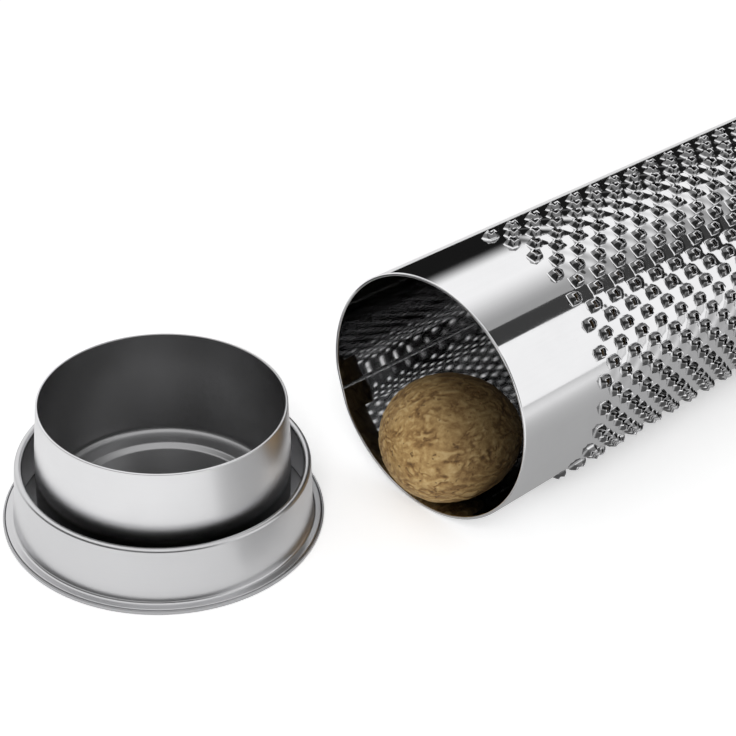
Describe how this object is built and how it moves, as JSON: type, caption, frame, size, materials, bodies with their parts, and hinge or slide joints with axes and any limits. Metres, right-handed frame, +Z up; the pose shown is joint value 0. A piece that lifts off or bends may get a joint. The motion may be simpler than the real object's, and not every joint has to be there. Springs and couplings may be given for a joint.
{
  "type": "nutmeg grater",
  "caption": "Sheet-steel tube grater with punched, pierced teeth and a closed end; its lift-off plug lid stands in front of the open mouth, where a nutmeg lies.",
  "frame": {"origin": "middle of the whole part's footprint, on the surface that the tube and the lid lie on", "axes": "+X runs from the open mouth into the tube, +Z is up, and the lid stands on the +Y side of the tube's axis"},
  "size_m": [0.1798, 0.0668, 0.0392],
  "materials": {
    "polished_steel": "mirror polished",
    "satin_steel": "satin",
    "nutmeg_shell": "dry and wrinkled"
  },
  "bodies": {
    "tube": {"grating_tube": "polished_steel", "end_cap": "polished_steel"},
    "lid": {"lid_base": "satin_steel", "lid_skirt": "satin_steel", "lid_cup": "satin_steel"},
    "nutmeg": {"nutmeg": "nutmeg_shell"}
  },
  "joints": [
    {"name": "lid_lift", "type": "slide", "parent": "tube", "child": "lid", "axis": [0, 0, 1], "range_m": [0, 0.06]},
    {"name": "nutmeg_slide", "type": "slide", "parent": "tube", "child": "nutmeg", "axis": [-1, 0, 0], "range_m": [-0.105, 0.011]}
  ]
}
